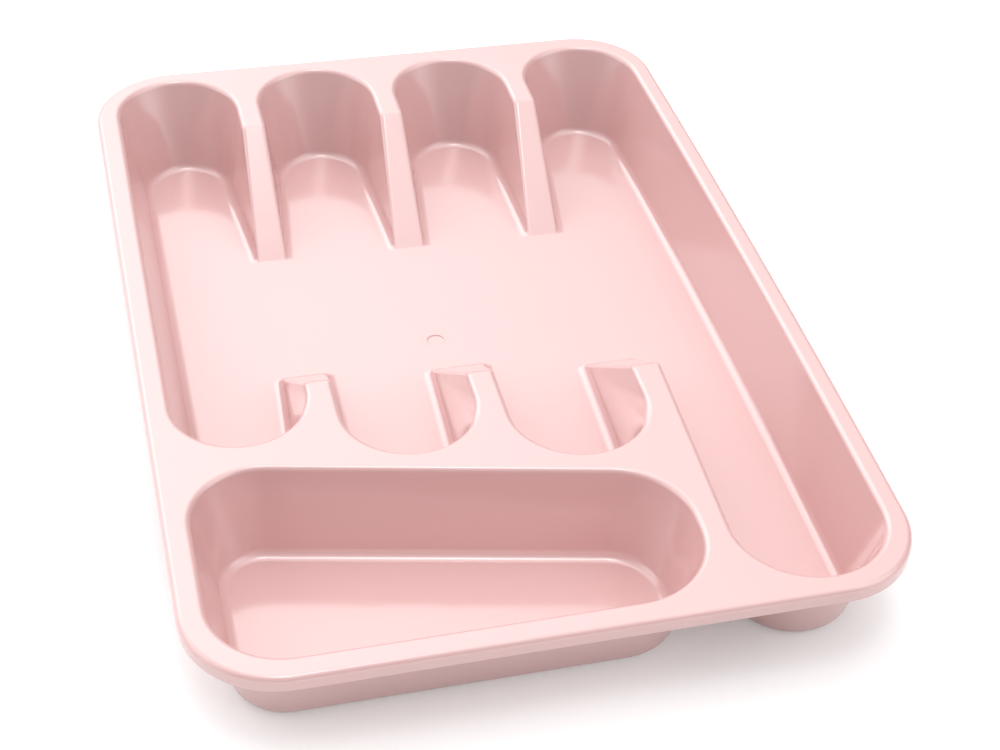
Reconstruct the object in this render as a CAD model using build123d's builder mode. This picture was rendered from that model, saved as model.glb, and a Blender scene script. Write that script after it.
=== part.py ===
from build123d import *
import math
import os

os.makedirs("parts", exist_ok=True)

# A drawer tray for cutlery, moulded in one thin wall of plastic.
# X runs to the right, Y to the back, Z up. The origin is under the middle of the tray.
# The tray is one moulding. It is kept as its natural regions, which meet face to face.

# Overall size
length = 390.0
width = 270.0
side_bow = 1.5
height = 40.0
wall = 2.0

# Rim: a flat flange with a rounded, turned down edge
side_rim_width = 10.2
end_rim_width = 10.0
rim_corner_radius = 36.0
skirt_height = 6.4
rim_rounding = 2.4

# Draft of the moulded walls, from upright
side_draft = math.radians(13.75)
slot_back_draft = math.radians(26.57)
bin_far_draft = math.radians(12.75)

# Four slots with round back ends, and the three dividers between them
slot_count = 4
slot_width = 54.7
divider_width = 10.7
neck_length = 44.0
divider_ramp_run = 56.5
divider_foot_width = 13.5
first_foot_from_side = 69.5
foot_pitch = 63.75

# Three fingers at the front, with a round notch between each and the next
finger_count = 3
finger_width = 9.6
first_finger_from_side = 68.0
finger_pitch = 64.7
first_finger_tip_from_front = 149.5
finger_tip_step = 7.5
finger_ramp_run = 48.0
finger_foot_width = 20.0

# Front bin: its far side slants, so it is deeper at the left
bin_width = 181.8
bin_left_depth = 101.0
bin_right_depth = 62.2
bin_near_left_radius = 28.0
bin_near_right_radius = 32.0
bin_far_right_radius = 31.0
bin_far_left_radius = 26.0
ledge_width = 10.0
first_notch_extra = 2.8

# Rounding where walls meet floors
floor_fillet = 4.0

# Where the moulding is divided: how far round a curve, or along the bin, a region reaches
crotch_share = 0.3
cusp_share = 0.45
bin_end_share = 0.25
# Height in the floor fillet where the floor's region ends and the walls begin
wall_foot_share = 0.25

# Round mark that the moulding gate leaves on the floor
gate_mark_diameter = 8.0
gate_mark_depth = 0.4
gate_mark_from_left = 130.7
gate_mark_from_front = 211.0

# How far a cut runs past what it cuts
overrun = 5.0

# Places that follow from the sizes. A line is the rim's inner edge, an edge its outer one
left_edge = -(width + side_bow) / 2
right_edge = left_edge + width
front_edge = -length / 2
back_edge = length / 2
left_line = left_edge + side_rim_width
front_line = front_edge + end_rim_width
back_line = back_edge - end_rim_width
slot_pitch = slot_width + divider_width
slot_left = [left_line + i * slot_pitch for i in range(slot_count)]
slot_right = [x + slot_width for x in slot_left]
slot_x = [(a + b) / 2 for a, b in zip(slot_left, slot_right)]
right_line = slot_right[-1]
divider_x = [x + slot_pitch / 2 for x in slot_x[:-1]]
neck_end = back_line - neck_length
foot_y = neck_end - divider_ramp_run
foot_x = [left_edge + first_foot_from_side + i * foot_pitch for i in range(slot_count - 1)]
finger_x = [left_edge + first_finger_from_side + i * finger_pitch for i in range(finger_count)]
finger_tip_y = [front_edge + first_finger_tip_from_front - i * finger_tip_step for i in range(finger_count)]
front_slot_left = finger_x[-1] + finger_width / 2
front_slot_x = (front_slot_left + right_line) / 2
floor_top = wall
wall_foot = floor_top + floor_fillet * wall_foot_share
deck_under = height - wall
middle_y = (neck_end + finger_tip_y[0]) / 2

# The bin's right side, and its corner radii from near left round to far left
bin_right_line = left_line + bin_width
bin_radii = [bin_near_left_radius, bin_near_right_radius, bin_far_right_radius, bin_far_left_radius]
far_slope = (bin_left_depth - bin_right_depth) / bin_width


def far_side_y(x):
    """Y of the bin's far side at the rim."""
    return front_line + bin_left_depth - (x - left_line) * far_slope


# Notches between the fingers: left side, right side, then the round end nearest the bin
notch_left = [left_line, finger_x[0] + finger_width / 2, finger_x[1] + finger_width / 2]
notch_right = [x - finger_width / 2 for x in finger_x]
notch_half = [(b - a) / 2 for a, b in zip(notch_left, notch_right)]
notch_x = [(a + b) / 2 for a, b in zip(notch_left, notch_right)]
notch_y = [far_side_y(x) + ledge_width for x in notch_x]
notch_y[0] = notch_y[0] + first_notch_extra
notch_cut_y = [y + half + wall for y, half in zip(notch_y, notch_half)]


def inset(z, draft):
    """How far a drafted wall has come in at level z."""
    return (height - z) * math.tan(draft)


def pocket(left, right, open_y, end_y, end_draft, grow, bottom):
    """The space of one slot, flat at open_y and a half round at end_y.

    With grow, the space that its walls fill too.
    """
    turn = math.copysign(1, end_y - open_y)
    with BuildPart() as space:
        for z in (bottom, height + overrun):
            spread = grow - inset(z, side_draft)
            x0 = left - spread
            x1 = right + spread
            tip_y = end_y + turn * (grow - inset(z, end_draft))
            arc_y = tip_y - turn * (x1 - x0) / 2
            with BuildSketch(Plane.XY.offset(z)):
                with BuildLine():
                    Polyline((x0, arc_y), (x0, open_y), (x1, open_y), (x1, arc_y))
                    ThreePointArc((x1, arc_y), ((x0 + x1) / 2, tip_y), (x0, arc_y))
                make_face()
        loft(ruled=True)
        around_floor = edges().group_by(Axis.Z)[0].sort_by(Axis.Y)
        fillet(around_floor[1:] if turn > 0 else around_floor[:-1], floor_fillet + grow)
    return space.part


def block(x0, x1, y0, y1, z0, z1):
    """A plain block of space between two corners."""
    with BuildPart() as space:
        with BuildSketch(Plane.XY.offset(z0)):
            with Locations(((x0 + x1) / 2, (y0 + y1) / 2)):
                Rectangle(x1 - x0, y1 - y0)
        extrude(amount=z1 - z0)
    return space.part


def ramp(neck_x, neck_width, neck_y, toe_x, toe_width, toe_y, thin):
    """The wedge that ends a divider or finger. With thin, the hollow inside it."""
    turn = math.copysign(1, toe_y - neck_y)
    base_half = neck_width / 2 + inset(floor_top, side_draft)
    rise = height - floor_top
    slant = math.hypot(rise, toe_y - neck_y)
    sunk = thin * slant / abs(toe_y - neck_y)
    with BuildPart() as wedge:
        with BuildSketch(Plane.XY.offset(-overrun)):
            with Locations((neck_x, (neck_y + toe_y) / 2)):
                Rectangle(slot_pitch, abs(toe_y - neck_y))
        extrude(amount=height - thin + overrun)
        split(
            bisect_by=Plane(
                origin=(neck_x, neck_y, height - sunk),
                x_dir=(1, 0, 0),
                z_dir=(0, turn * rise, abs(toe_y - neck_y)),
            ),
            keep=Keep.BOTTOM,
        )
        for side in (-1, 1):
            top = Vector(neck_x + side * (neck_width / 2 - thin), neck_y, height)
            base = Vector(neck_x + side * (base_half - thin), neck_y, floor_top)
            toe = Vector(toe_x + side * (toe_width / 2 - thin), toe_y, floor_top)
            outward = (base - top).cross(toe - top)
            if outward.X * side < 0:
                outward = -outward
            split(bisect_by=Plane(origin=top, z_dir=outward), keep=Keep.BOTTOM)
    return wedge.part


def bin_space(grow, bottom):
    """The space of the bin, rounded at its four corners, or with grow its walls' space too."""
    with BuildPart() as space:
        for z in (bottom, height + overrun):
            side = grow - inset(z, side_draft)
            far = grow - inset(z, bin_far_draft)
            x0 = left_line - side
            x1 = bin_right_line + side
            y0 = front_line - side
            corners = [(x0, y0), (x1, y0), (x1, far_side_y(x1) + far), (x0, far_side_y(x0) + far)]
            with BuildSketch(Plane.XY.offset(z)):
                with BuildLine():
                    Polyline(*corners, close=True)
                make_face()
                for corner, radius in zip(corners, bin_radii):
                    fillet(vertices().sort_by_distance(corner)[0], radius + side)
        loft(ruled=True)
        fillet(edges().group_by(Axis.Z)[0], floor_fillet + grow)
    return space.part


def basin_space(grow, bottom):
    """The slots and the open middle, or with grow the space that their walls fill too."""
    spaces = [
        pocket(x0, x1, middle_y, back_line, slot_back_draft, grow, bottom)
        for x0, x1 in zip(slot_left, slot_right)
    ]
    for x0, x1, y in zip(notch_left, notch_right, notch_y):
        spaces.append(pocket(x0, x1, middle_y, y, side_draft, grow, bottom))
    spaces.append(
        pocket(front_slot_left, right_line, middle_y, front_line, side_draft, grow, bottom)
    )
    wedges = []
    for i in range(finger_count):
        spaces.append(block(slot_x[i], slot_x[i + 1], finger_tip_y[i], neck_end, bottom, height + overrun))
        wedges.append(
            ramp(divider_x[i], divider_width, neck_end, foot_x[i], divider_foot_width, foot_y, grow)
        )
        wedges.append(
            ramp(
                finger_x[i],
                finger_width,
                finger_tip_y[i],
                finger_x[i],
                finger_foot_width,
                finger_tip_y[i] + finger_ramp_run,
                grow,
            )
        )
    with BuildPart() as space:
        for piece in spaces:
            add(piece)
        for wedge in wedges:
            add(wedge, mode=Mode.SUBTRACT)
    return space.part


basin_void = basin_space(0, floor_top)
bin_void = bin_space(0, floor_top)

# The whole rim plate with its turned down edge, before it is shared out
with BuildPart() as deck:
    with BuildSketch(Plane.XY.offset(height - skirt_height)) as rim_outline:
        with BuildLine():
            Line((left_edge, back_edge - rim_corner_radius), (left_edge, front_edge + rim_corner_radius))
            RadiusArc(
                (left_edge, front_edge + rim_corner_radius),
                (left_edge + rim_corner_radius, front_edge),
                -rim_corner_radius,
            )
            Line((left_edge + rim_corner_radius, front_edge), (right_edge - rim_corner_radius, front_edge))
            RadiusArc(
                (right_edge - rim_corner_radius, front_edge),
                (right_edge, front_edge + rim_corner_radius),
                -rim_corner_radius,
            )
            ThreePointArc(
                (right_edge, front_edge + rim_corner_radius),
                (right_edge + side_bow, 0),
                (right_edge, back_edge - rim_corner_radius),
            )
            RadiusArc(
                (right_edge, back_edge - rim_corner_radius),
                (right_edge - rim_corner_radius, back_edge),
                -rim_corner_radius,
            )
            Line((right_edge - rim_corner_radius, back_edge), (left_edge + rim_corner_radius, back_edge))
            RadiusArc(
                (left_edge + rim_corner_radius, back_edge),
                (left_edge, back_edge - rim_corner_radius),
                -rim_corner_radius,
            )
        make_face()
    extrude(amount=skirt_height)
    fillet(edges().group_by(Axis.Z)[-1], rim_rounding)
    with BuildSketch(Plane.XY.offset(height - skirt_height)):
        add(rim_outline.sketch_local)
        offset(amount=-wall, mode=Mode.REPLACE)
    extrude(amount=skirt_height - wall, mode=Mode.SUBTRACT)
    add(basin_void, mode=Mode.SUBTRACT)
    add(bin_void, mode=Mode.SUBTRACT)

# The basin's tub and the bin's tub, which hang from the rim plate
with BuildPart() as basin_tub:
    add(basin_space(wall, 0))
    add(basin_void, mode=Mode.SUBTRACT)
    split(bisect_by=Plane.XY.offset(deck_under), keep=Keep.BOTTOM)

with BuildPart() as bin_tub:
    add(bin_space(wall, 0))
    add(bin_void, mode=Mode.SUBTRACT)
    split(bisect_by=Plane.XY.offset(deck_under), keep=Keep.BOTTOM)

# Where the regions are cut apart
back_arc_y = back_line - inset(0, slot_back_draft) - slot_width / 2 + inset(0, side_draft)
rear_cut_y = (neck_end + back_arc_y) / 2
bin_left_cut = left_line + bin_width * bin_end_share
bin_right_cut = bin_right_line - bin_width * bin_end_share
bin_middle_y = front_line + bin_right_depth / 2
finger_sides = notch_x + [front_slot_x]


def finger_block(i, z0, z1):
    """The block that holds front finger i, from its root to the foot of its ramp."""
    foot = finger_tip_y[i] + finger_ramp_run
    return block(finger_sides[i], finger_sides[i + 1], notch_cut_y[i], foot, z0, z1)


def divider_deck_block(i):
    """The block that holds the flat top of rear divider i, out to the back rim."""
    reach = slot_pitch * crotch_share
    return block(divider_x[i] - reach, divider_x[i] + reach, foot_y, back_line, deck_under, height)


def save(part, name):
    """Label one finished region and write it."""
    part.label = name
    export_step(part, f"parts/{name}.step")


# The slanted shelf between the bin and the notches, and the land beside the long slot
with BuildPart() as ledge_area:
    with BuildSketch(Plane.XY.offset(deck_under)):
        with BuildLine():
            Polyline(
                (left_line, front_line + bin_left_depth - bin_far_left_radius * (1 - crotch_share)),
                (left_line + bin_width / 2, bin_middle_y),
                (bin_right_line - bin_near_right_radius, front_line + bin_near_right_radius * crotch_share),
                (front_slot_x, front_line + bin_near_right_radius * crotch_share),
                (front_slot_x, finger_tip_y[0]),
                (notch_x[0], finger_tip_y[0]),
                (notch_x[0], notch_y[0] + notch_half[0] * cusp_share),
                (left_line, notch_y[0] + notch_half[0] * cusp_share),
                close=True,
            )
        make_face()
    extrude(amount=wall)
    for i in range(finger_count):
        add(finger_block(i, deck_under, height), mode=Mode.SUBTRACT)

with BuildPart() as front_ledge:
    add(deck.part)
    add(ledge_area.part, mode=Mode.INTERSECT)
save(front_ledge.part, "front_ledge")

with BuildPart() as rim_flange:
    add(deck.part)
    add(ledge_area.part, mode=Mode.SUBTRACT)
    for i in range(finger_count):
        add(finger_block(i, deck_under, height), mode=Mode.SUBTRACT)
        add(divider_deck_block(i), mode=Mode.SUBTRACT)
save(rim_flange.part, "rim_flange")

# The floor that all four slots share, with the mark of the gate in it
with BuildPart() as basin_floor:
    add(basin_tub.part)
    split(bisect_by=Plane.XY.offset(wall_foot), keep=Keep.BOTTOM)
    with BuildSketch(Plane.XY.offset(floor_top)):
        with Locations((left_edge + gate_mark_from_left, front_edge + gate_mark_from_front)):
            Circle(gate_mark_diameter / 2)
    extrude(amount=-gate_mark_depth, mode=Mode.SUBTRACT)
save(basin_floor.part, "basin_floor")

# Rear dividers: two slot walls with a flat top between them, closed in front by a ramp
for i in range(slot_count - 1):
    with BuildPart() as divider_walls:
        add(basin_tub.part)
        add(
            block(slot_x[i], slot_x[i + 1], foot_y, rear_cut_y, wall_foot, deck_under),
            mode=Mode.INTERSECT,
        )
    with BuildPart() as divider_top:
        add(deck.part)
        add(divider_deck_block(i), mode=Mode.INTERSECT)
    with BuildPart() as rear_divider:
        add(divider_walls.part)
        add(divider_top.part)
    save(rear_divider.part, f"rear_divider_{i + 1}")

# Front fingers: the same shape, reaching back from the ledge
for i in range(finger_count):
    with BuildPart() as finger_walls:
        add(basin_tub.part)
        add(finger_block(i, wall_foot, deck_under), mode=Mode.INTERSECT)
    with BuildPart() as finger_top:
        add(deck.part)
        add(finger_block(i, deck_under, height), mode=Mode.INTERSECT)
    with BuildPart() as front_finger:
        add(finger_walls.part)
        add(finger_top.part)
    save(front_finger.part, f"front_finger_{i + 1}")

# Round back end of each slot
for i, x in enumerate(slot_x):
    with BuildPart() as back_end:
        add(basin_tub.part)
        add(
            block(x - slot_pitch / 2, x + slot_pitch / 2, rear_cut_y, back_edge, wall_foot, deck_under),
            mode=Mode.INTERSECT,
        )
    save(back_end.part, f"slot_{i + 1}_back_end")

# Round notch walls under the ledge
for i in range(finger_count):
    with BuildPart() as notch_wall:
        add(basin_tub.part)
        add(
            block(
                finger_x[i - 1] if i else left_edge,
                finger_x[i],
                front_edge,
                notch_cut_y[max(i - 1, 0)],
                wall_foot,
                deck_under,
            ),
            mode=Mode.INTERSECT,
        )
        add(finger_block(i, wall_foot, deck_under), mode=Mode.SUBTRACT)
    save(notch_wall.part, f"notch_{i + 1}_wall")

# Straight side walls, each in two where the front and rear spaces meet
side_regions = {
    "left_wall_front": (left_edge, slot_x[0], notch_cut_y[0], middle_y),
    "left_wall_rear": (left_edge, slot_x[0], middle_y, rear_cut_y),
    "right_wall_front": (slot_x[-1], right_edge, notch_cut_y[-1], middle_y),
    "right_wall_rear": (slot_x[-1], right_edge, middle_y, rear_cut_y),
}
for name, (x0, x1, y0, y1) in side_regions.items():
    with BuildPart() as side_wall:
        add(basin_tub.part)
        add(block(x0, x1, y0, y1, wall_foot, deck_under), mode=Mode.INTERSECT)
    save(side_wall.part, name)

# Round front end of the long slot
with BuildPart() as slot_4_front_end:
    add(basin_tub.part)
    add(
        block(finger_x[-1], right_edge, front_edge, notch_cut_y[-1], wall_foot, deck_under),
        mode=Mode.INTERSECT,
    )
save(slot_4_front_end.part, "slot_4_front_end")

# Front bin: its floor, its two long walls and its two round ends
with BuildPart() as bin_floor:
    add(bin_tub.part)
    split(bisect_by=Plane.XY.offset(wall_foot), keep=Keep.BOTTOM)
save(bin_floor.part, "bin_floor")

bin_regions = {
    "bin_left_end": (left_edge, bin_left_cut, front_edge, 0),
    "bin_right_end": (bin_right_cut, right_edge, front_edge, 0),
    "bin_near_wall": (bin_left_cut, bin_right_cut, front_edge, bin_middle_y),
    "bin_far_wall": (bin_left_cut, bin_right_cut, bin_middle_y, 0),
}
for name, (x0, x1, y0, y1) in bin_regions.items():
    with BuildPart() as bin_wall:
        add(bin_tub.part)
        add(block(x0, x1, y0, y1, wall_foot, deck_under), mode=Mode.INTERSECT)
    save(bin_wall.part, name)
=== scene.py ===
import math

import bmesh
import bpy
import numpy as np
from mathutils import Matrix, Vector
from mathutils.geometry import delaunay_2d_cdt


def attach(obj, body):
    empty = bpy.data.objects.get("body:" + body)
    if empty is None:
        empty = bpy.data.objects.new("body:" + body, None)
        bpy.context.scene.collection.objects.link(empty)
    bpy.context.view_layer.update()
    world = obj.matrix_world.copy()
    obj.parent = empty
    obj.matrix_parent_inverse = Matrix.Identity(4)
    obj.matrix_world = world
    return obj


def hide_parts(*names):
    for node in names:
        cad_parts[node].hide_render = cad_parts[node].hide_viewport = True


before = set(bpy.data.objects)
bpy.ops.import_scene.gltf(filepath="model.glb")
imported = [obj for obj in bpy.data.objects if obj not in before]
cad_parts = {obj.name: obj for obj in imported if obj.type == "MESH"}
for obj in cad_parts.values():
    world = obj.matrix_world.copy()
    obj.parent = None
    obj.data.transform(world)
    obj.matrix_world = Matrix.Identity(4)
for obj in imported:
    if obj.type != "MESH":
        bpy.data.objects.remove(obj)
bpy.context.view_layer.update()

MM = 0.001

# Driving values in millimetres. X runs from the rim's left edge, Y from its front edge, and Z from the rim's top down.
LENGTH = 390.0
WIDTH = 270.0
SIDE_BOW = 1.5
HEIGHT = 40.0
WALL = 2.0
DEPTH = HEIGHT - WALL
FLOOR = -DEPTH
# The frame's origin: on the ground, below the tray's middle
ORIGIN = ((WIDTH + SIDE_BOW) / 2, LENGTH / 2, -HEIGHT)

# The rim: its corners in plan, the rounding of its outer edge, and its turned down skirt
RIM_RADII = {"front_left": 36.2, "front_right": 35.0, "back_right": 35.1, "back_left": 37.6}
RIM_ROUND = 2.4
SKIRT = 6.4
SKIRT_EDGE = 0.5

# How far each wall leans in from the rim down to the floor
SIDE_INSET = 9.5
DIVIDER_INSET = 6.6
FINGER_INSET = 5.0
END_INSET = 9.3
BACK_INSET = 19.0
BIN_INSET = 9.3
BIN_FAR_INSET = 8.6

# Top edges are rounded from this far in on the deck to this far down the wall, and less above a ramp
TOP_ROUND = 1.95
RAMP_TOP_ROUND = 1.1
# Radii: where a wall meets the floor, where a ramp does, at the creases beside the dividers' ramps and the fingers',
# at their corners in the deck, round the tubs' undersides, and beneath the deck
FLOOR_FILLET = 4.4
RAMP_FILLET = 1.6
CREASE = 1.1
FINGER_CREASE = 1.9
TIP_CORNER = 2.2
TUB_ROUND = 5.5
UNDER_FILLET = 1.0

# How far in plan the wall's outside may lie from its inside, the same at a corner of the deck, and how close to the
# edge the rounding beneath the deck starts there
MOST_OFFSET = 2.6
CORNER_OFFSET = 2.0
CORNER_FLAT = 0.1

# Rear ends of the four slots: left side, right side and back. Then where the ramps between them leave the deck, and
# each ramp's foot: left side, right side and front
SLOTS = [(10.3, 65.2, 381.9), (76.0, 130.5, 381.5), (141.4, 195.9, 379.7), (206.4, 261.6, 379.9)]
NECK_END = 336.0
REAR_FEET = [(63.0, 76.0, 281.0), (126.5, 140.0, 279.5), (190.0, 204.0, 278.0)]

# Round front ends of the three short slots: left side, right side and front. Then where the fingers between them leave
# the deck, and each finger's foot: left side, right side and back
NOTCHES = [(9.9, 63.1, 117.9), (73.9, 127.3, 101.3), (138.2, 193.3, 88.0)]
FINGER_TIPS = [149.5, 143.0, 134.5]
FRONT_FEET = [(61.0, 80.0, 198.0), (124.3, 147.5, 191.5), (190.0, 212.0, 182.0)]
# Where on a notch's arc the fold to the finger's foot starts, in degrees from the finger's side, for the notch on the
# finger's left and the one on its right, and how far it spreads to both sides
FOLDS = (31.0, 6.0)
FOLD_SPREAD = 6.0

# Front end of the long slot: left side, right side and front. Then its left side at the third finger's tip, and how
# far its right side bows out
LONG_SLOT = (202.4, 261.4, 8.7)
LONG_SLOT_SIDE = 205.6
SLOT_SIDE_BOW = 1.6

# Front bin: its sides at rim level, the slope of its far side, and its corners' radii from the near left one round
BIN_LEFT = 10.0
BIN_RIGHT = 192.0
BIN_NEAR = 9.8
BIN_FAR = 112.9
BIN_SLOPE = 0.213
BIN_RADII = [28.0, 32.0, 31.0, 26.0]

# The moulding's gate mark: its middle, its size, and how steep its small step gets, in degrees
GATE = (130.7, 211.0)
GATE_RADIUS = 4.0
GATE_DEPTH = 0.55
GATE_BEND = 75.0

# Points of the mesh that lie closer than this are one point, and how near to a line a point lies on it
JOIN = 0.035
ON_LINE = 1e-6

# Steps of the mesh: in a half circle, in a quarter, along a long side, a neck between slots, and a short side
HALF_STEPS = 48
QUARTER_STEPS = 24
SIDE_STEPS = 40
NECK_STEPS = 4
SHORT_STEPS = 12
# In a fold: round the wall, along the wall's foot, over the facet, and straight on to the finger's crease
FOLD_STEPS = (24, 12, 12, 2)
# In the facet beside a crease, and in the crease
FACET_STEPS = 10
CREASE_STEPS = 8
# In the roundings of an edge, in those beneath the deck, in the skirt's edge, and down a wall inside and outside
ROUND_STEPS = 8
UNDER_STEPS = 4
WALL_STEPS = 6
OUTSIDE_STEPS = 4
# Along the rim's bowed side, round the gate mark, and down each half of its step
BOW_STEPS = 32
GATE_STEPS = 32
GATE_BEND_STEPS = 3

# Studio light: soft lights as azimuth, elevation, tightness and strength, and how strongly the white floor shows
LOBES = [(0, 90, 8, 1.4), (180, 84, 130, 5.5), (0, 58, 8, 1.6), (120, 58, 8, 0.92), (0, 28, 10, 1.22),
         (120, 28, 10, 1.8), (200, 25, 3, 0.36), (281, 29, 8, 2.0), (-26, 32, 22, 2.3), (-40, 6, 25, 0.9)]
FLOOR_GLOW = 0.2

# The stage's floor in metres: half its side, how far it lies below the tray, and its colour
STAGE_HALF = 20.0
STAGE_DROP = 0.0001
STAGE_GREY = (0.8, 0.8, 0.8, 1)

# Camera, in radians and metres, with its focal length in the photograph's pixels
CAMERA_YAW = 0.2765660098739521
CAMERA_PITCH = 0.6985263556084977
CAMERA_ROLL = -0.05304515010416111
CAMERA_PLACE = (-0.15374663, -0.61351931, 0.52667636)
CAMERA_FOCAL = 1903.1498
PHOTO_WIDTH = 1000
SENSOR_WIDTH = 36

# Plastic: base colour, how strongly it mirrors, and how much its roughness and tint vary with its marks, with the
# flow rings round the gate, and with its grain. Lengths are in metres, and scales are per metre
PINK = (0.66, 0.413, 0.404)
IOR = 1.6
SPECULAR = 1.0
NOISE_RANGE = (0.25, 0.75)
WAVE_SCALE, WAVE_DETAIL = 55.0, 1.0
WAVE_DEPTH = 0.00006
MARK_SCALE, MARK_DETAIL = 9.0, 3.0
MARK_ROUGHNESS = (0.1, 0.15)
MARK_TINT = (0.985, 1.012)
GRAIN_SCALE, GRAIN_DETAIL = 900.0, 2.0
GRAIN_ROUGHNESS = (-0.012, 0.012)
GRAIN_TINT = (-0.005, 0.005)
RING_SPACING = 0.011
RING_WANDER = 3 * RING_SPACING
RING_REACH = 4 * RING_SPACING
RING_HALVINGS = 2.5
RING_ROUGHNESS = 0.01
RING_TINT = 0.006


def unit(v):
    """The vector at length 1."""
    v = np.asarray(v, float)
    return v / np.linalg.norm(v)


def left_of(t):
    """The direction a quarter turn to the left of t."""
    return np.array([-t[1], t[0]])


class Loop:
    """Stations round an opening, which lies on the left of the way round.

    Each has its edge at rim level, its edge at floor level, the way round at both, and its roundings.
    """

    def __init__(self):
        self.items = []

    def add(self, top, foot, way_top, way_foot, top_round=TOP_ROUND, fillet=FLOOR_FILLET, corner=False):
        """One station. Its wall's outside is kept closer at a corner of the deck."""
        self.items.append((np.array(top, float), np.array(foot, float), unit(way_top), unit(way_foot),
                           top_round, fillet, corner))

    def arc(self, c_top, r_top, c_foot, r_foot, a0, a1, n):
        """A round end, to the left from angle a0 to a1 in degrees."""
        for i in range(n + 1):
            a = math.radians(a0 + (a1 - a0) * i / n)
            d = np.array([math.cos(a), math.sin(a)])
            self.add(np.array(c_top) + r_top * d, np.array(c_foot) + r_foot * d, left_of(d), left_of(d))

    def line(self, t0, t1, f0, f1, n, bow=0.0):
        """A straight side. With a bow, its middle stands out to the right of the way round."""
        t0, t1, f0, f1 = (np.array(p, float) for p in (t0, t1, f0, f1))
        for i in range(n + 1):
            s = i / n
            out = -left_of(unit(t1 - t0)) * bow * 4 * s * (1 - s)
            turn = -left_of(unit(t1 - t0)) * bow * 4 * (1 - 2 * s)
            self.add(t0 + (t1 - t0) * s + out, f0 + (f1 - f0) * s + out,
                     t1 - t0 + turn, f1 - f0 + turn)

    def ramp(self, side_top, side_foot, next_top, next_foot, toe, next_toe):
        """A ramp between two slots: a facet, a crease, the ramp, a crease and a facet.

        The corner points are sharp ones. The way round turns right at both creases.
        """
        side_top, side_foot, next_top, next_foot, toe, next_toe = (
            np.array(p, float) for p in (side_top, side_foot, next_top, next_foot, toe, next_toe))
        across_top = unit(next_top - side_top)
        across_foot = unit(next_toe - toe)
        base = unit(toe - side_foot)
        self.crease(side_top, left_of(across_top), across_top, toe, base, across_foot, side_foot, True)
        base = unit(next_foot - next_toe)
        self.crease(next_top, across_top, -left_of(across_top), next_toe, across_foot, base, next_foot, False)

    def finger(self, arc, foot_arc, tip, toe, next_arc, next_foot_arc):
        """A finger from the front of one slot's round end, round its ramp, to the front of the next one's."""
        x0, x1, tip_y = tip
        toe_left, toe_right, toe_y = toe
        corner, across = np.array([x0, tip_y]), np.array([1.0, 0.0])
        foot_corner = np.array([toe_left, toe_y])
        before = unit(foot_corner - (foot_arc[0] + foot_arc[2], foot_arc[1]))
        turn = angle(before, across)
        foot_end = foot_corner - before * FINGER_CREASE * math.tan(abs(turn) / 2)
        self.fold(arc, foot_arc, foot_end, x0, tip_y - TIP_CORNER, 1)
        self.crease(corner, left_of(across), across, foot_corner, before, across, None, True, FINGER_CREASE)
        corner, foot_corner = np.array([x1, tip_y]), np.array([toe_right, toe_y])
        if next_arc:
            after = unit(np.array((next_foot_arc[0] - next_foot_arc[2], next_foot_arc[1])) - foot_corner)
        else:
            after = unit(np.array([x1 + FINGER_INSET, tip_y]) - foot_corner)
        self.crease(corner, across, -left_of(across), foot_corner, across, after,
                    None if next_arc else np.array([x1 + FINGER_INSET, tip_y]), False, FINGER_CREASE)
        if next_arc:
            turn = angle(across, after)
            foot_end = foot_corner + after * FINGER_CREASE * math.tan(abs(turn) / 2)
            self.fold(next_arc, next_foot_arc, foot_end, x1, tip_y - TIP_CORNER, -1)

    def fold(self, arc, foot_arc, foot_end, x, y, hand):
        """From the front of a round end to the finger's crease: the round wall, the wall's foot, and the facet."""
        items = []
        start = np.array([foot_arc[0] + hand * foot_arc[2], foot_arc[1]])
        way_side = unit(foot_end - start)

        def on_arc(circle, a):
            out = np.array([math.cos(a) * hand, math.sin(a)])
            return np.array(circle[:2]) + circle[2] * out, left_of(out) * hand

        stop = -(FOLDS[0] if hand > 0 else FOLDS[1]) - FOLD_SPREAD
        go = stop + 2 * FOLD_SPREAD
        round_steps, foot_steps, facet_steps, end_steps = FOLD_STEPS
        for i in range(round_steps + 1):
            s = i / round_steps
            top, way_top = on_arc(arc, math.radians(-90 + (90 + stop) * s))
            foot, way_foot = on_arc(foot_arc, math.radians(-90 + 90 * s))
            items.append((top, foot, way_top, way_foot))
        for i in range(1, foot_steps + 1):
            top, way_top = on_arc(arc, math.radians(stop + (go - stop) * i / foot_steps))
            items.append((top, start + (foot_end - start) * i / foot_steps, way_top, way_side))
        for i in range(1, facet_steps + 1):
            top, way_top = on_arc(arc, math.radians(go * (1 - i / facet_steps)))
            items.append((top, foot_end, way_top, way_side))
        last = top
        for i in range(1, end_steps + 1):
            items.append((last + (np.array([x, y]) - last) * i / end_steps, foot_end, np.array([0.0, 1.0]), way_side))
        if hand < 0:
            items = [(t, f, -wt, -wf) for t, f, wt, wf in items][::-1]
        for item in items:
            self.add(*item)

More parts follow.
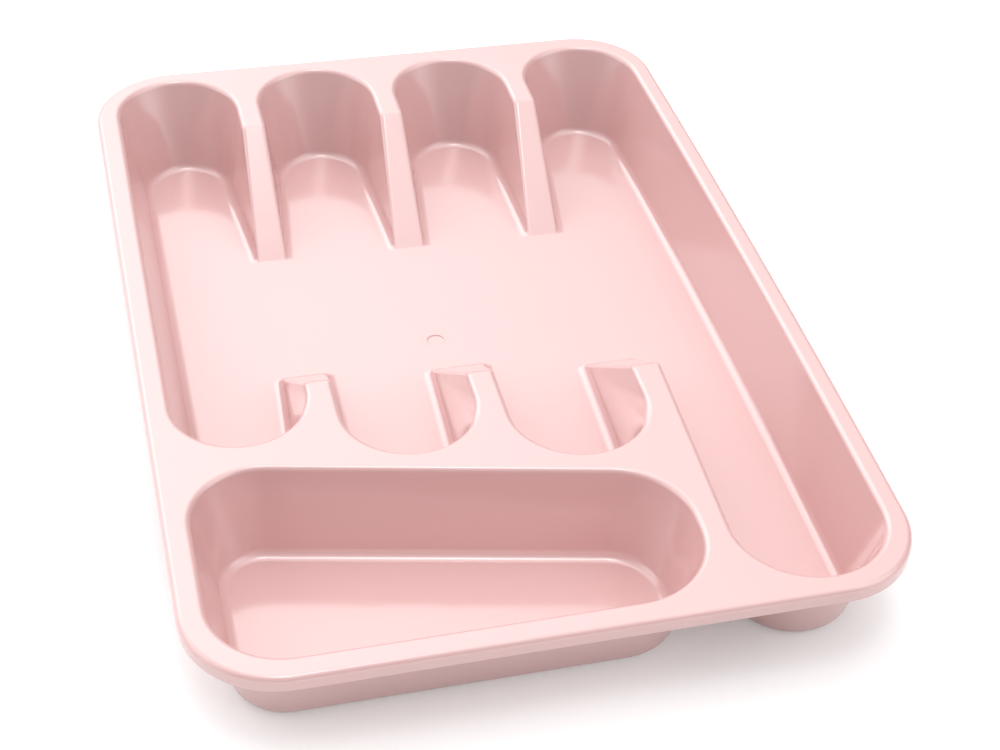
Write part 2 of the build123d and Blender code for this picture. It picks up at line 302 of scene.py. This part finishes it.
    def crease(self, top, top_before, top_after, foot, before, after, wall_foot, arriving, radius=CREASE):
        """One rounded crease down from the edge to the foot, with the facet beside it."""
        turn = angle(before, after)
        cut = radius * math.tan(abs(turn) / 2)
        top_turn = angle(top_before, top_after)
        top_cut = TIP_CORNER * math.tan(abs(top_turn) / 2)
        start_top = top - top_before * top_cut
        start_foot = foot - before * cut
        bend = []
        for i in range(CREASE_STEPS + 1):
            s = i / CREASE_STEPS
            way = turned(before, turn * s)
            way_top = turned(top_before, top_turn * s)
            on_top = start_top + (left_of(way_top) - left_of(top_before)) * TIP_CORNER
            on_foot = start_foot + (left_of(way) - left_of(before)) * radius
            k = s if arriving else 1 - s
            bend.append((on_top, on_foot, way_top, way, TOP_ROUND + (RAMP_TOP_ROUND - TOP_ROUND) * k,
                         FLOOR_FILLET + (RAMP_FILLET - FLOOR_FILLET) * k, True))
        if wall_foot is None:
            for item in bend:
                self.add(*item)
            return
        fan_top = bend[0][0] if arriving else bend[-1][0]
        fan_foot = bend[0][1] if arriving else bend[-1][1]
        way, way_top = (before, top_before) if arriving else (after, top_after)
        far_foot = np.array(wall_foot, float)
        fan = []
        for i in range(FACET_STEPS):
            s = i / FACET_STEPS
            fan.append((fan_top, far_foot + (fan_foot - far_foot) * s, way_top, way))
        for item in (fan + bend if arriving else bend + fan[::-1]):
            self.add(*item)


def angle(a, b):
    """The angle from direction a to direction b, positive to the left."""
    return math.atan2(a[0] * b[1] - a[1] * b[0], a[0] * b[0] + a[1] * b[1])


def turned(v, a):
    """The direction v turned left by the angle a."""
    return np.array([v[0] * math.cos(a) - v[1] * math.sin(a), v[0] * math.sin(a) + v[1] * math.cos(a)])


def basin_loop():
    """The basin, anticlockwise from the left of the long slot's front end."""
    loop = Loop()
    x0, x1, front = LONG_SLOT
    f0, f1 = x0 + FINGER_INSET, x1 - SIDE_INSET
    radius, foot_radius = (x1 - x0) / 2, (f1 - f0) / 2
    centre = ((x0 + x1) / 2, front + radius)
    foot_centre = ((f0 + f1) / 2, front + END_INSET + foot_radius)
    loop.arc(centre, radius, foot_centre, foot_radius, 180, 360, HALF_STEPS)
    slots = []
    for i, (s0, s1, back) in enumerate(SLOTS):
        b0 = s0 + (DIVIDER_INSET if i else SIDE_INSET)
        b1 = s1 - (DIVIDER_INSET if i < 3 else SIDE_INSET)
        r, rf = (s1 - s0) / 2, (b1 - b0) / 2
        slots.append((s0, s1, back - r, r, b0, b1, back - BACK_INSET - rf, rf))
    s0, s1, y, r, b0, b1, yf, rf = slots[3]
    loop.line((x1, centre[1]), (s1, y), (f1, foot_centre[1]), (b1, yf), SIDE_STEPS, bow=SLOT_SIDE_BOW)
    for i in (3, 2, 1, 0):
        s0, s1, y, r, b0, b1, yf, rf = slots[i]
        loop.arc(((s0 + s1) / 2, y), r, ((b0 + b1) / 2, yf), rf, 0, 180, HALF_STEPS)
        if i == 0:
            break
        _, p1, py, _, _, pb1, pyf, _ = slots[i - 1]
        toe_left, toe_right, toe_y = REAR_FEET[i - 1]
        neck = NECK_END + TIP_CORNER
        loop.line((s0, y), (s0, neck), (b0, yf), (b0, neck), NECK_STEPS)
        loop.ramp((s0, NECK_END), (b0, neck), (p1, NECK_END), (pb1, neck), (toe_right, toe_y), (toe_left, toe_y))
        loop.line((p1, neck), (p1, py), (pb1, neck), (pb1, pyf), NECK_STEPS)
    notches = []
    for i, (n0, n1, front) in enumerate(NOTCHES):
        b0 = n0 + (FINGER_INSET if i else SIDE_INSET)
        b1 = n1 - FINGER_INSET
        r, rf = (n1 - n0) / 2, (b1 - b0) / 2
        notches.append((n0, n1, front + r, r, b0, b1, front + END_INSET + rf, rf))
    s0, s1, y, r, b0, b1, yf, rf = slots[0]
    n0, n1, ny, nr, nb0, nb1, nyf, nrf = notches[0]
    loop.line((s0, y), (n0, ny), (b0, yf), (nb0, nyf), SIDE_STEPS)
    loop.arc((n0 + nr, ny), nr, (nb0 + nrf, nyf), nrf, 180, 270, QUARTER_STEPS)
    for i in range(3):
        n0, n1, ny, nr, nb0, nb1, nyf, nrf = notches[i]
        tip = FINGER_TIPS[i]
        toe_left, toe_right, toe_y = FRONT_FEET[i]
        if i < 2:
            a0, _, ay, ar, ab0, _, ayf, arf = notches[i + 1]
        else:
            a0, ay, ar, ab0, ayf, arf = LONG_SLOT_SIDE, None, None, LONG_SLOT_SIDE + FINGER_INSET, None, None
        loop.finger((n0 + nr, ny, nr), (nb0 + nrf, nyf, nrf), (n1, a0, tip), (toe_left, toe_right, toe_y),
                    (a0 + ar, ay, ar) if ar else None, (ab0 + arf, ayf, arf) if ar else None)
    loop.line((LONG_SLOT_SIDE, FINGER_TIPS[2] - TIP_CORNER), (x0, centre[1]),
              (LONG_SLOT_SIDE + FINGER_INSET, FINGER_TIPS[2] - TIP_CORNER), (f0, foot_centre[1]), SHORT_STEPS)
    return loop


def rounded_corner(corners, radii, i):
    """Where the rounding of corner i has its centre, and the angles at which it starts and ends."""
    p = np.array(corners[i], float)
    before = unit(p - corners[i - 1])
    after = unit(np.array(corners[(i + 1) % len(corners)], float) - p)
    a0 = math.atan2(-left_of(before)[1], -left_of(before)[0])
    a1 = math.atan2(-left_of(after)[1], -left_of(after)[0])
    turn = (a1 - a0) % (2 * math.pi)
    centre = p - before * radii[i] * math.tan(turn / 2) + left_of(before) * radii[i]
    return centre, math.degrees(a0), math.degrees(a0 + turn)


def bin_corners(side, far):
    """The bin's corners, anticlockwise from the near left one, with its sides moved in."""
    length = math.hypot(1, BIN_SLOPE)
    left, right, near = BIN_LEFT + side, BIN_RIGHT - side, BIN_NEAR + side

    def far_y(x):
        return BIN_FAR - BIN_SLOPE * x - far * length

    return [np.array(p) for p in ((left, near), (right, near), (right, far_y(right)), (left, far_y(left)))]


def bin_loop():
    """The bin, anticlockwise from its near left corner."""
    loop = Loop()
    top = bin_corners(0, 0)
    foot = bin_corners(BIN_INSET, BIN_FAR_INSET)
    foot_radii = [r - BIN_INSET for r in BIN_RADII]
    for i in range(4):
        c_top, a0, a1 = rounded_corner(top, BIN_RADII, i)
        c_foot, _, _ = rounded_corner(foot, foot_radii, i)
        loop.arc(c_top, BIN_RADII[i], c_foot, foot_radii[i], a0, a1, QUARTER_STEPS)
        c_next, _, _ = rounded_corner(top, BIN_RADII, (i + 1) % 4)
        f_next, _, _ = rounded_corner(foot, foot_radii, (i + 1) % 4)
        d1 = np.array([math.cos(math.radians(a1)), math.sin(math.radians(a1))])
        loop.line(c_top + d1 * BIN_RADII[i], c_next + d1 * BIN_RADII[(i + 1) % 4],
                  c_foot + d1 * foot_radii[i], f_next + d1 * foot_radii[(i + 1) % 4], SHORT_STEPS)
    return loop


def conic(p0, mid, p1, weight, n):
    """Points of a rounding from p0 to p1 whose ends point at mid, with the way along it."""
    out = []
    for i in range(n + 1):
        s = i / n
        b0, b1, b2 = (1 - s) ** 2, 2 * weight * s * (1 - s), s * s
        w = b0 + b1 + b2
        p = (b0 * p0 + b1 * mid + b2 * p1) / w
        dw = -2 * (1 - s) + 2 * weight * (1 - 2 * s) + 2 * s
        num = -2 * (1 - s) * p0 + 2 * weight * (1 - 2 * s) * mid + 2 * s * p1
        out.append((p, unit(num - dw * p)))
    return out


def flat3(v, z=0.0):
    """A point or direction of the plan, in space."""
    return np.array([v[0], v[1], z])


def inside_rows(loop):
    """Rows of points and normals down the inside of an opening, from the deck to the floor."""
    rows = []
    for top, foot, way_top, way_foot, top_round, fillet, _ in loop.items:
        t3, f3 = flat3(top), flat3(foot, FLOOR)
        u = unit(f3 - t3)
        wt, wf = flat3(way_top), flat3(way_foot)
        n_top, n_foot = flat3(left_of(way_top)), flat3(left_of(way_foot))
        down = unit(u - wt * (u @ wt))
        turn = math.acos(max(-1, min(1, down @ n_top)))
        arc_top = conic(t3 - n_top * top_round, t3, t3 + u * top_round / (u @ down),
                        math.cos(turn / 2), ROUND_STEPS)
        up = -unit(u - wf * (u @ wf))
        turn_f = math.acos(max(-1, min(1, up @ -n_foot)))
        e = fillet * math.tan(turn_f / 2)
        arc_foot = conic(f3 - u * e / (-u @ up), f3, f3 + n_foot * e, math.cos(turn_f / 2), ROUND_STEPS)
        row = [(p, unit(np.cross(wt, g))) for p, g in arc_top]
        row += [(p, unit(np.cross(wf, g))) for p, g in arc_foot]
        rows.append(row)
    return rows


def outside_rows(loop):
    """Rows down the outside of the same wall, from the deck's underside to the tub's underside."""
    rows = []
    for top, foot, way_top, way_foot, _, _, corner in loop.items:
        t3, f3 = flat3(top), flat3(foot, FLOOR)
        run = (f3 - t3) / DEPTH
        wt, wf = flat3(way_top), flat3(way_foot)
        n_top, n_foot = flat3(left_of(way_top)), flat3(left_of(way_foot))
        u = unit(run)
        down_t = unit(u - wt * (u @ wt))
        down_f = unit(u - wf * (u @ wf))
        h_top = min(WALL / abs(down_t[2]), CORNER_OFFSET if corner else MOST_OFFSET)
        h_foot = min(WALL / abs(down_f[2]), MOST_OFFSET)
        a = t3 + run * WALL - n_top * h_top
        b = t3 + run * HEIGHT - n_foot * h_foot
        v = unit(b - a)
        down_t = unit(v - wt * (v @ wt))
        turn = math.acos(max(-1, min(1, down_t @ n_top)))
        d = UNDER_FILLET * math.tan(turn / 2)
        d_flat = min(d, CORNER_FLAT) if corner else d
        arc_top = conic(a - n_top * d_flat, a, a + v * d / (v @ down_t), math.cos(turn / 2), UNDER_STEPS)
        up = -unit(v - wf * (v @ wf))
        turn_f = math.acos(max(-1, min(1, up @ -n_foot)))
        e = TUB_ROUND * math.tan(turn_f / 2)
        arc_foot = conic(b - v * e / (-v @ up), b, b + n_foot * e, math.cos(turn_f / 2), ROUND_STEPS)
        row = [(p, -unit(np.cross(wt, g))) for p, g in arc_top]
        row += [(p, -unit(np.cross(wf, g))) for p, g in arc_foot]
        rows.append(row)
    return rows


def rim_rows():
    """Rows round the rim, from the deck over its rounding and skirt to the deck's underside."""
    r_front_left, r_front_right = RIM_RADII["front_left"], RIM_RADII["front_right"]
    r_back_right, r_back_left = RIM_RADII["back_right"], RIM_RADII["back_left"]
    outline = []

    def corner(cx, cy, r, a0):
        for i in range(QUARTER_STEPS + 1):
            a = math.radians(a0 + 90 * i / QUARTER_STEPS)
            d = np.array([math.cos(a), math.sin(a)])
            outline.append((np.array([cx, cy]) + r * d, d))

    corner(r_front_left, r_front_left, r_front_left, 180)
    corner(WIDTH - r_front_right, r_front_right, r_front_right, 270)
    y0, y1 = r_front_right, LENGTH - r_back_right
    for i in range(1, BOW_STEPS):
        s = i / BOW_STEPS
        lean = SIDE_BOW * 4 * (1 - 2 * s) / (y1 - y0)
        outline.append((np.array([WIDTH + SIDE_BOW * 4 * s * (1 - s), y0 + (y1 - y0) * s]), unit([1, -lean])))
    corner(WIDTH - r_back_right, LENGTH - r_back_right, r_back_right, 0)
    corner(r_back_left, LENGTH - r_back_left, r_back_left, 90)

    profile = []

    def bend(cx, cz, r, a0, a1, n):
        for i in range(n + 1):
            a = math.radians(a0 + (a1 - a0) * i / n)
            profile.append((cx + r * math.cos(a), cz + r * math.sin(a), math.cos(a), math.sin(a)))

    bend(-RIM_ROUND, -RIM_ROUND, RIM_ROUND, 90, 0, ROUND_STEPS)
    bend(-SKIRT_EDGE, -SKIRT + SKIRT_EDGE, SKIRT_EDGE, 0, -90, UNDER_STEPS)
    bend(-WALL + SKIRT_EDGE, -SKIRT + SKIRT_EDGE, SKIRT_EDGE, -90, -180, UNDER_STEPS)
    middle = -WALL - UNDER_FILLET
    for i in range(UNDER_STEPS + 1):
        a = math.radians(90 * i / UNDER_STEPS)
        profile.append((middle + UNDER_FILLET * math.cos(a), middle + UNDER_FILLET * math.sin(a),
                        -math.cos(a), -math.sin(a)))
    rows = []
    for p, d in outline:
        rows.append([(flat3(p + d * off, z), unit(flat3(d * nx, nz))) for off, z, nx, nz in profile])
    return rows


class Shell:
    """Collects points, normals and faces, and joins points that fall together.

    The points are kept by the cell of a grid that they lie in, and the faces by their corners.
    """

    def __init__(self):
        self.cells = {}
        self.points = []
        self.normals = []
        self.faces = {}

    def point(self, p, n):
        """The point at p, or one that lies closer to it than JOIN."""
        p = np.array(p, float)
        cell = [int(round(c / JOIN)) for c in p]
        near = (i for dx in (-1, 0, 1) for dy in (-1, 0, 1) for dz in (-1, 0, 1)
                for i in self.cells.get((cell[0] + dx, cell[1] + dy, cell[2] + dz), ()))
        i = min(near, key=lambda i: np.linalg.norm(self.points[i] - p), default=None)
        if i is None or np.linalg.norm(self.points[i] - p) >= JOIN:
            i = len(self.points)
            self.cells.setdefault(tuple(cell), []).append(i)
            self.points.append(p)
            self.normals.append(np.zeros(3))
        self.normals[i] = self.normals[i] + n
        return i

    def face(self, ids):
        """Adds a face. Two with the same corners lie back to back in a fold of no width, so both go."""
        kept = [v for k, v in enumerate(ids) if v != ids[k - 1]]
        if len(set(kept)) < 3 or len(set(kept)) != len(kept):
            return
        if self.faces.pop(frozenset(kept), None) is None:
            self.faces[frozenset(kept)] = kept

    def band(self, rows, divide=None):
        """Faces between the rows of a closed loop, facing the way of the normals."""
        if divide:
            rows = [self.split(row, divide) for row in rows]
        ids = [[self.point(p, n) for p, n in row] for row in rows]
        count = len(rows)
        for i in range(count):
            a, b = ids[i], ids[(i + 1) % count]
            for k in range(len(a) - 1):
                quad = [a[k], a[k + 1], b[k + 1], b[k]]
                p = [self.points[v] for v in quad]
                across = np.cross(p[2] - p[0], p[3] - p[1])
                mean = rows[i][k][1] + rows[i][k + 1][1]
                if across @ mean < 0:
                    quad.reverse()
                self.face(quad)
        return [row[0] for row in ids], [row[-1] for row in ids]

    def split(self, row, divide):
        """The same row with points added down its straight wall, which is its longest step."""
        steps = [np.linalg.norm(row[k + 1][0] - row[k][0]) for k in range(len(row) - 1)]
        k = int(np.argmax(steps))
        (p0, n0), (p1, n1) = row[k], row[k + 1]
        extra = [(p0 + (p1 - p0) * i / divide, unit(n0 + (n1 - n0) * i / divide)) for i in range(1, divide)]
        return row[:k + 1] + extra + row[k + 1:]

    def flat(self, outer, holes, z, up):
        """Fills the flat area between one outer loop of points and its holes, facing up or down."""
        loops = [without_repeats(ids) for ids in [outer] + holes]
        ids = [v for loop in loops for v in loop]
        points = [Vector(self.points[v][:2]) for v in ids]
        edges = []
        start = 0
        for loop in loops:
            n = len(loop)
            edges += [(start + k, start + (k + 1) % n) for k in range(n)]
            start += n
        made, lines, tris, origins, line_origins, _ = delaunay_2d_cdt(points, edges, [], 0, ON_LINE)
        names = []
        normal = np.array([0, 0, 1.0 if up else -1.0])
        for p, source in zip(made, origins):
            names.append(ids[source[0]] if source else self.point((p.x, p.y, z), normal))
        rings = [np.array([[self.points[v][0], self.points[v][1]] for v in loop]) for loop in loops]
        fixed = {frozenset(line) for line, source in zip(lines, line_origins) if source}
        corners = np.array([[made[v] for v in tri] for tri in tris])
        sides = corners[:, 1:] - corners[:, :1]
        areas = sides[:, 0, 0] * sides[:, 1, 1] - sides[:, 1, 0] * sides[:, 0, 1]
        for region in regions(tris, fixed):
            widest = max(region, key=lambda k: abs(areas[k]))
            middle = corners[widest].mean(axis=0)
            if not within(rings[0], middle) or any(within(ring, middle) for ring in rings[1:]):
                continue
            for k in region:
                a, b, c = tris[k]
                self.face([names[v] for v in ((a, b, c) if (areas[k] > 0) == up else (a, c, b))])

    def mesh(self, name):
        """The smooth mesh in metres, with all its faces turned to the outside."""
        mesh = bpy.data.meshes.new(name)
        mesh.from_pydata([tuple((p - np.array(ORIGIN)) * MM) for p in self.points], [], list(self.faces.values()))
        turned_out = bmesh.new()
        turned_out.from_mesh(mesh)
        bmesh.ops.recalc_face_normals(turned_out, faces=turned_out.faces)
        turned_out.to_mesh(mesh)
        turned_out.free()
        for poly in mesh.polygons:
            poly.use_smooth = True
        mesh.normals_split_custom_set_from_vertices([tuple(unit(n)) for n in self.normals])
        return mesh


def without_repeats(ids):
    """The loop without points that follow themselves or that it only goes to and back from."""
    kept = []
    for v in ids:
        if len(kept) > 1 and kept[-2] == v:
            kept.pop()
        elif not kept or kept[-1] != v:
            kept.append(v)
    if kept[0] == kept[-1]:
        kept.pop()
    return kept


def regions(tris, fixed):
    """The triangles in groups that no fixed line parts, each group as their numbers.

    A group that reaches the outer edge over a line that isn't fixed is left out.
    """
    lines = [[frozenset(pair) for pair in ((a, b), (b, c), (c, a))] for a, b, c in tris]
    beside = {}
    for k, own in enumerate(lines):
        for line in own:
            beside.setdefault(line, []).append(k)
    found, seen = [], set()
    for start in range(len(tris)):
        if start in seen:
            continue
        seen.add(start)
        region = [start]
        closed = True
        for k in region:
            for line in lines[k]:
                if line not in fixed:
                    closed = closed and len(beside[line]) > 1
                    new = [j for j in beside[line] if j not in seen]
                    seen.update(new)
                    region += new
        if closed:
            found.append(region)
    return found


def within(ring, point):
    """Whether the point lies inside the ring, by the sides that a line from it to the right crosses."""
    x, y = ring[:, 0], ring[:, 1]
    x2, y2 = np.roll(x, -1), np.roll(y, -1)
    px, py = point
    crosses = (y > py) != (y2 > py)
    with np.errstate(divide="ignore", invalid="ignore"):
        at = x + (py - y) * (x2 - x) / (y2 - y)
    return np.sum(crosses & (px < at)) % 2 == 1


def gate_rows():
    """Rows of the round gate mark, from the floor down its small step to its disc."""
    rows = []
    step = GATE_DEPTH / 2
    n = GATE_BEND_STEPS
    for i in range(GATE_STEPS):
        a = 2 * math.pi * i / GATE_STEPS
        d = np.array([math.cos(a), math.sin(a)])
        row = []
        for k in range(n + 1):
            b = math.radians(GATE_BEND * k / n)
            row.append((GATE_RADIUS - step * math.sin(b), FLOOR - step * (1 - math.cos(b)),
                        -math.sin(b), math.cos(b)))
        for k in range(n + 1):
            b = math.radians(GATE_BEND - GATE_BEND * k / n)
            r0 = GATE_RADIUS - 2 * step * math.sin(math.radians(GATE_BEND)) + step * math.sin(b)
            row.append((r0, FLOOR - GATE_DEPTH + step * (1 - math.cos(b)), -math.sin(b), math.cos(b)))
        rows.append([(flat3(np.array(GATE) + d * r, z), unit(flat3(d * nx, nz))) for r, z, nx, nz in row])
    return rows


def build_shell():
    """The whole tray as one closed skin: its rim, its two openings inside and outside, and the flats between."""
    shell = Shell()
    basin, bin_ = basin_loop(), bin_loop()
    rim_top, rim_under = shell.band(rim_rows())
    basin_top, basin_floor = shell.band(inside_rows(basin), divide=WALL_STEPS)
    bin_top, bin_floor = shell.band(inside_rows(bin_), divide=WALL_STEPS)
    gate_floor, gate_disc = shell.band(gate_rows())
    basin_under, basin_bottom = shell.band(outside_rows(basin), divide=OUTSIDE_STEPS)
    bin_under, bin_bottom = shell.band(outside_rows(bin_), divide=OUTSIDE_STEPS)
    shell.flat(rim_top, [basin_top, bin_top], 0.0, True)
    shell.flat(basin_floor, [gate_floor], FLOOR, True)
    shell.flat(gate_disc, [], FLOOR - GATE_DEPTH, True)
    shell.flat(bin_floor, [], FLOOR, True)
    shell.flat(rim_under, [basin_under, bin_under], -WALL, False)
    shell.flat(basin_bottom, [], -HEIGHT, False)
    shell.flat(bin_bottom, [], -HEIGHT, False)
    return shell.mesh("tray_shell")


def plastic():
    """Pale pink moulded plastic: semi-gloss and faintly wavy, with flow rings round its gate and a fine grain."""
    m = bpy.data.materials.new("tray_plastic")
    m.use_nodes = True
    nodes, links = m.node_tree.nodes, m.node_tree.links
    shader = nodes["Principled BSDF"]
    shader.inputs["IOR"].default_value = IOR
    shader.inputs["Specular IOR Level"].default_value = SPECULAR
    place = nodes.new("ShaderNodeTexCoord").outputs["Object"]

    def noise(scale, detail):
        node = nodes.new("ShaderNodeTexNoise")
        node.inputs["Scale"].default_value = scale
        node.inputs["Detail"].default_value = detail
        links.new(place, node.inputs["Vector"])
        return node.outputs["Fac"]

    def spread(value, low, high):
        node = nodes.new("ShaderNodeMapRange")
        node.inputs["From Min"].default_value, node.inputs["From Max"].default_value = NOISE_RANGE
        node.inputs["To Min"].default_value = low
        node.inputs["To Max"].default_value = high
        links.new(value, node.inputs["Value"])
        return node.outputs["Result"]

    def maths(operation, a, b):
        node = nodes.new("ShaderNodeMath")
        node.operation = operation
        for socket, value in zip(node.inputs, (a, b)):
            if isinstance(value, float):
                socket.default_value = value
            else:
                links.new(value, socket)
        return node.outputs[0]

    marks = noise(MARK_SCALE, MARK_DETAIL)
    away = nodes.new("ShaderNodeVectorMath")
    away.operation = "DISTANCE"
    away.inputs[1].default_value = [(c - o) * MM for c, o in zip(GATE, ORIGIN)] + [WALL * MM]
    links.new(place, away.inputs[0])
    wandering = maths("ADD", away.outputs["Value"], maths("MULTIPLY", marks, RING_WANDER))
    rings = maths("SINE", maths("MULTIPLY", wandering, 2 * math.pi / RING_SPACING), 0.0)
    fade = maths("POWER", 2.0, maths("MULTIPLY", away.outputs["Value"], -RING_HALVINGS / RING_REACH))
    rings = maths("MULTIPLY", rings, fade)

    grain = noise(GRAIN_SCALE, GRAIN_DETAIL)
    rough = maths("ADD", spread(marks, *MARK_ROUGHNESS), maths("MULTIPLY", rings, RING_ROUGHNESS))
    rough = maths("ADD", rough, spread(grain, *GRAIN_ROUGHNESS))
    links.new(rough, shader.inputs["Roughness"])

    tint = maths("ADD", spread(marks, *MARK_TINT), maths("MULTIPLY", rings, RING_TINT))
    tint = maths("ADD", tint, spread(grain, *GRAIN_TINT))
    colour = nodes.new("ShaderNodeVectorMath")
    colour.operation = "SCALE"
    colour.inputs[0].default_value = PINK
    links.new(tint, colour.inputs["Scale"])
    links.new(colour.outputs["Vector"], shader.inputs["Base Color"])

    bump = nodes.new("ShaderNodeBump")
    bump.inputs["Distance"].default_value = WAVE_DEPTH
    bump.inputs["Strength"].default_value = 1.0
    links.new(noise(WAVE_SCALE, WAVE_DETAIL), bump.inputs["Height"])
    links.new(bump.outputs["Normal"], shader.inputs["Normal"])
    return m


mesh = build_shell()
tray = bpy.data.objects.new("tray_shell", mesh)
bpy.context.scene.collection.objects.link(tray)
mesh.materials.append(plastic())
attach(tray, "root")
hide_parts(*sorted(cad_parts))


def camera():
    """The photograph's view, from the front left and above."""
    yaw, pitch, roll = CAMERA_YAW, CAMERA_PITCH, CAMERA_ROLL
    place = Vector(CAMERA_PLACE)
    fwd = Vector((math.sin(yaw) * math.cos(pitch), math.cos(yaw) * math.cos(pitch), -math.sin(pitch)))
    right = Vector((math.cos(yaw), -math.sin(yaw), 0))
    down = fwd.cross(right)
    right2 = math.cos(roll) * right + math.sin(roll) * down
    down2 = -math.sin(roll) * right + math.cos(roll) * down
    data = bpy.data.cameras.new("camera")
    data.sensor_width = SENSOR_WIDTH
    data.lens = CAMERA_FOCAL * SENSOR_WIDTH / PHOTO_WIDTH
    cam = bpy.data.objects.new("camera", data)
    cam.matrix_world = Matrix((
        (right2.x, -down2.x, -fwd.x, place.x),
        (right2.y, -down2.y, -fwd.y, place.y),
        (right2.z, -down2.z, -fwd.z, place.z),
        (0, 0, 0, 1),
    ))
    bpy.context.scene.collection.objects.link(cam)
    bpy.context.scene.camera = cam


def stage():
    """A plain pale floor, which shows white to the camera and keeps the tray's shadow."""
    side = STAGE_HALF
    mesh = bpy.data.meshes.new("stage_floor")
    mesh.from_pydata([(-side, -side, 0), (side, -side, 0), (side, side, 0), (-side, side, 0)], [], [(0, 1, 2, 3)])
    floor = bpy.data.objects.new("stage_floor", mesh)
    floor.location.z = -STAGE_DROP
    bpy.context.scene.collection.objects.link(floor)
    m = bpy.data.materials.new("stage_floor")
    m.use_nodes = True
    nodes, links = m.node_tree.nodes, m.node_tree.links
    nodes.clear()
    out = nodes.new("ShaderNodeOutputMaterial")
    diffuse = nodes.new("ShaderNodeBsdfDiffuse")
    diffuse.inputs["Color"].default_value = STAGE_GREY
    glow = nodes.new("ShaderNodeEmission")
    path = nodes.new("ShaderNodeLightPath")
    scale = nodes.new("ShaderNodeMath")
    scale.operation = "MULTIPLY"
    scale.inputs[1].default_value = FLOOR_GLOW
    seen = path.outputs["Is Camera Ray"]
    for kind in ("Is Glossy Ray", "Is Transmission Ray"):
        add = nodes.new("ShaderNodeMath")
        add.operation = "ADD"
        add.use_clamp = True
        links.new(seen, add.inputs[0])
        links.new(path.outputs[kind], add.inputs[1])
        seen = add.outputs[0]
    links.new(seen, scale.inputs[0])
    links.new(scale.outputs[0], glow.inputs["Strength"])
    both = nodes.new("ShaderNodeAddShader")
    links.new(diffuse.outputs[0], both.inputs[0])
    links.new(glow.outputs[0], both.inputs[1])
    links.new(both.outputs[0], out.inputs["Surface"])
    mesh.materials.append(m)


def direction(azimuth, elevation):
    """Unit vector towards a light: azimuth 0 is the back of the tray and 90 its right."""
    a, e = math.radians(azimuth), math.radians(elevation)
    return Vector((math.sin(a) * math.cos(e), math.cos(a) * math.cos(e), math.sin(e)))


def studio():
    """Soft studio light: soft lights far away, in a surround that is dark without them."""
    world = bpy.data.worlds.new("studio")
    bpy.context.scene.world = world
    world.use_nodes = True
    nodes, links = world.node_tree.nodes, world.node_tree.links
    back = nodes["Background"]
    back.inputs["Color"].default_value = (1, 1, 1, 1)
    place = nodes.new("ShaderNodeTexCoord")
    total = None
    for azimuth, elevation, tightness, strength in LOBES:
        dot = nodes.new("ShaderNodeVectorMath")
        dot.operation = "DOT_PRODUCT"
        dot.inputs[1].default_value = direction(azimuth, elevation)
        links.new(place.outputs["Generated"], dot.inputs[0])
        fall = nodes.new("ShaderNodeMath")
        fall.operation = "MULTIPLY_ADD"
        fall.inputs[1].default_value = tightness
        fall.inputs[2].default_value = -tightness
        links.new(dot.outputs["Value"], fall.inputs[0])
        lobe = nodes.new("ShaderNodeMath")
        lobe.operation = "EXPONENT"
        links.new(fall.outputs[0], lobe.inputs[0])
        add = nodes.new("ShaderNodeMath")
        add.operation = "MULTIPLY_ADD"
        add.inputs[1].default_value = strength
        links.new(lobe.outputs[0], add.inputs[0])
        if total is None:
            add.inputs[2].default_value = 0.0
        else:
            links.new(total, add.inputs[2])
        total = add.outputs[0]
    links.new(total, back.inputs["Strength"])


camera()
stage()
studio()
bpy.context.scene.view_settings.view_transform = "Standard"
